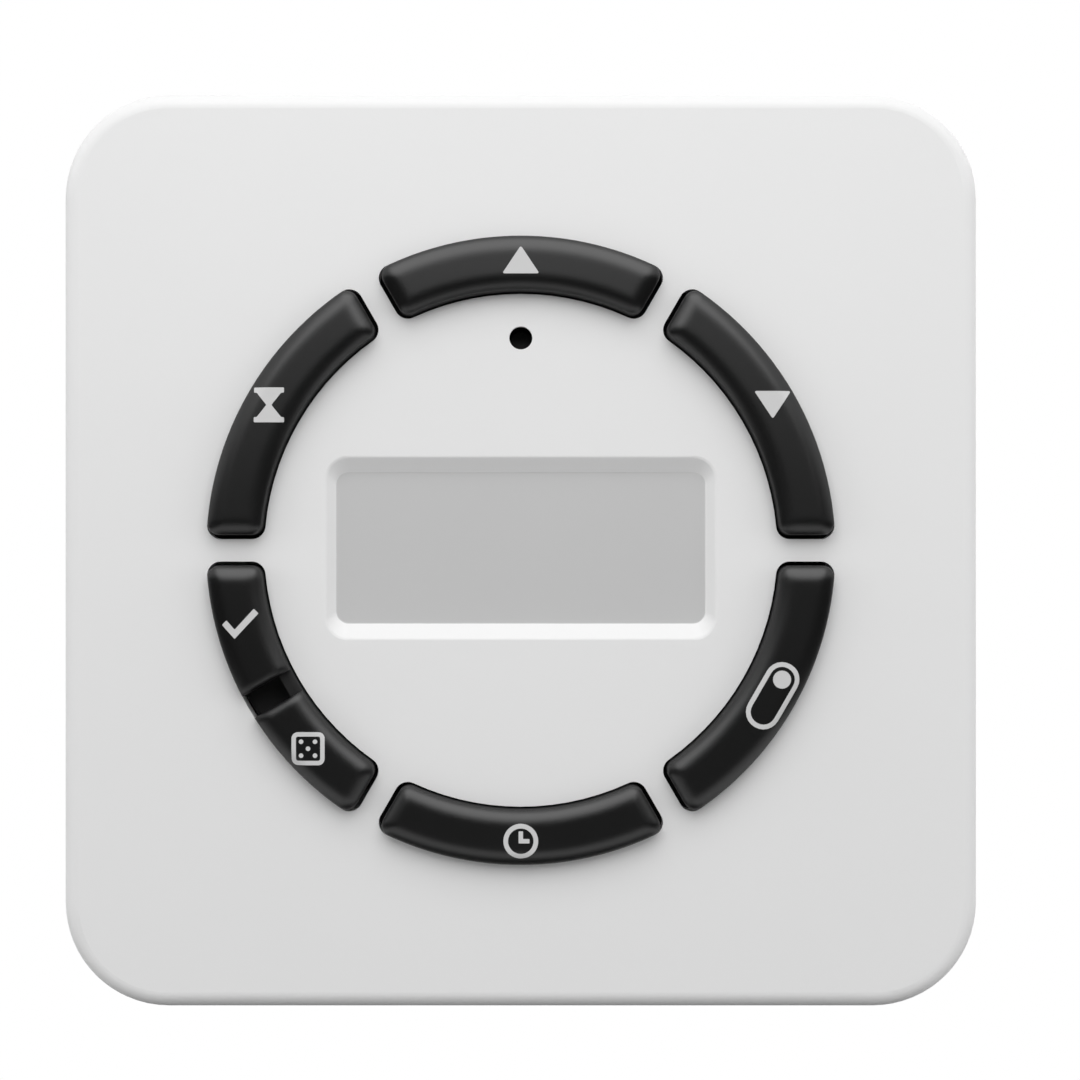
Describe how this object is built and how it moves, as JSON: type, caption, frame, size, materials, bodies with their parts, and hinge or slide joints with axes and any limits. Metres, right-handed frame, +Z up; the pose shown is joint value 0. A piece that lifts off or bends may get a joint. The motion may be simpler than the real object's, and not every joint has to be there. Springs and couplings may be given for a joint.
{
  "type": "flush wall timer",
  "caption": "Square flush-mounted digital wall timer: white cover, ring of dark keys round a grey display, steel mounting frame and power housing behind.",
  "frame": {"origin": "middle of the wall-screw pattern, on the wall plane", "axes": "+Z up, +Y into the wall, front faces -Y"},
  "size_m": [0.08, 0.0448, 0.08],
  "materials": {
    "cover_white": "satin",
    "key_charcoal": "satin",
    "window_satin": "satin",
    "lcd_grey": "gloss",
    "holder_grey": "satin",
    "mat_rubber": "matte",
    "carbon_rubber": "matte",
    "board_green": "gloss",
    "chip_black": "satin",
    "can_metal": "satin",
    "frame_zinc": "zinc plated",
    "screw_steel": "zinc plated",
    "contact_brass": "bright",
    "back_white": "satin",
    "housing_grey": "satin",
    "terminal_grey": "satin",
    "relay_blue": "gloss",
    "film_yellow": "gloss",
    "varistor_blue": "satin",
    "fuse_brown": "satin"
  },
  "bodies": {
    "wall_unit": {"front_cover": "cover_white", "display_window": "window_satin", "lcd_panel": "lcd_grey", "lcd_holder": "holder_grey", "zebra_strips": "carbon_rubber", "dome_mat": "mat_rubber", "contact_pills": "carbon_rubber", "control_board": "board_green", "board_screws": "screw_steel", "reset_switch": "chip_black", "controller_chip": "chip_black", "crystal": "can_metal", "backup_cell": "can_metal", "cell_clip": "screw_steel", "link_header": "chip_black", "link_pins": "contact_brass", "link_socket": "chip_black", "module_back_plate": "back_white", "module_screws": "screw_steel", "mounting_frame": "frame_zinc", "power_housing": "housing_grey", "housing_lid": "housing_grey", "housing_screws": "screw_steel", "power_board": "board_green", "relay": "relay_blue", "film_capacitor": "film_yellow", "smoothing_capacitor": "can_metal", "varistor": "varistor_blue", "fuse": "fuse_brown", "bridge_rectifier": "chip_black", "terminal_block": "terminal_grey", "terminal_cages": "contact_brass", "terminal_screws": "screw_steel"},
    "key_up": {"up_key": "key_charcoal"},
    "key_down": {"down_key": "key_charcoal"},
    "key_countdown": {"countdown_key": "key_charcoal"},
    "key_time": {"time_key": "key_charcoal"},
    "key_manual": {"manual_key": "key_charcoal"},
    "rocker": {"set_random_key": "key_charcoal"},
    "reset_pin": {"reset_plunger": "chip_black"}
  },
  "joints": [
    {"name": "up_press", "type": "slide", "parent": "wall_unit", "child": "key_up", "axis": [0, 1, 0], "range_m": [0, 0.0008], "stiffness_N_per_m": 1500, "deforming": ["dome_mat", "contact_pills"]},
    {"name": "down_press", "type": "slide", "parent": "wall_unit", "child": "key_down", "axis": [0, 1, 0], "range_m": [0, 0.0008], "stiffness_N_per_m": 1500, "deforming": ["dome_mat", "contact_pills"]},
    {"name": "countdown_press", "type": "slide", "parent": "wall_unit", "child": "key_countdown", "axis": [0, 1, 0], "range_m": [0, 0.0008], "stiffness_N_per_m": 1500, "deforming": ["dome_mat", "contact_pills"]},
    {"name": "time_press", "type": "slide", "parent": "wall_unit", "child": "key_time", "axis": [0, 1, 0], "range_m": [0, 0.0008], "stiffness_N_per_m": 1500, "deforming": ["dome_mat", "contact_pills"]},
    {"name": "manual_press", "type": "slide", "parent": "wall_unit", "child": "key_manual", "axis": [0, 1, 0], "range_m": [0, 0.0008], "stiffness_N_per_m": 1500, "deforming": ["dome_mat", "contact_pills"]},
    {"name": "set_random_rock", "type": "hinge", "parent": "wall_unit", "child": "rocker", "pos_m": [-0.02146, -0.011, -0.01239], "axis": [-0.866, 0, -0.5], "range_deg": [-4, 4], "stiffness_Nm_per_rad": 0.19, "deforming": ["dome_mat", "contact_pills"]},
    {"name": "reset_press", "type": "slide", "parent": "wall_unit", "child": "reset_pin", "axis": [0, 1, 0], "range_m": [0, 0.00025], "stiffness_N_per_m": 3000}
  ]
}
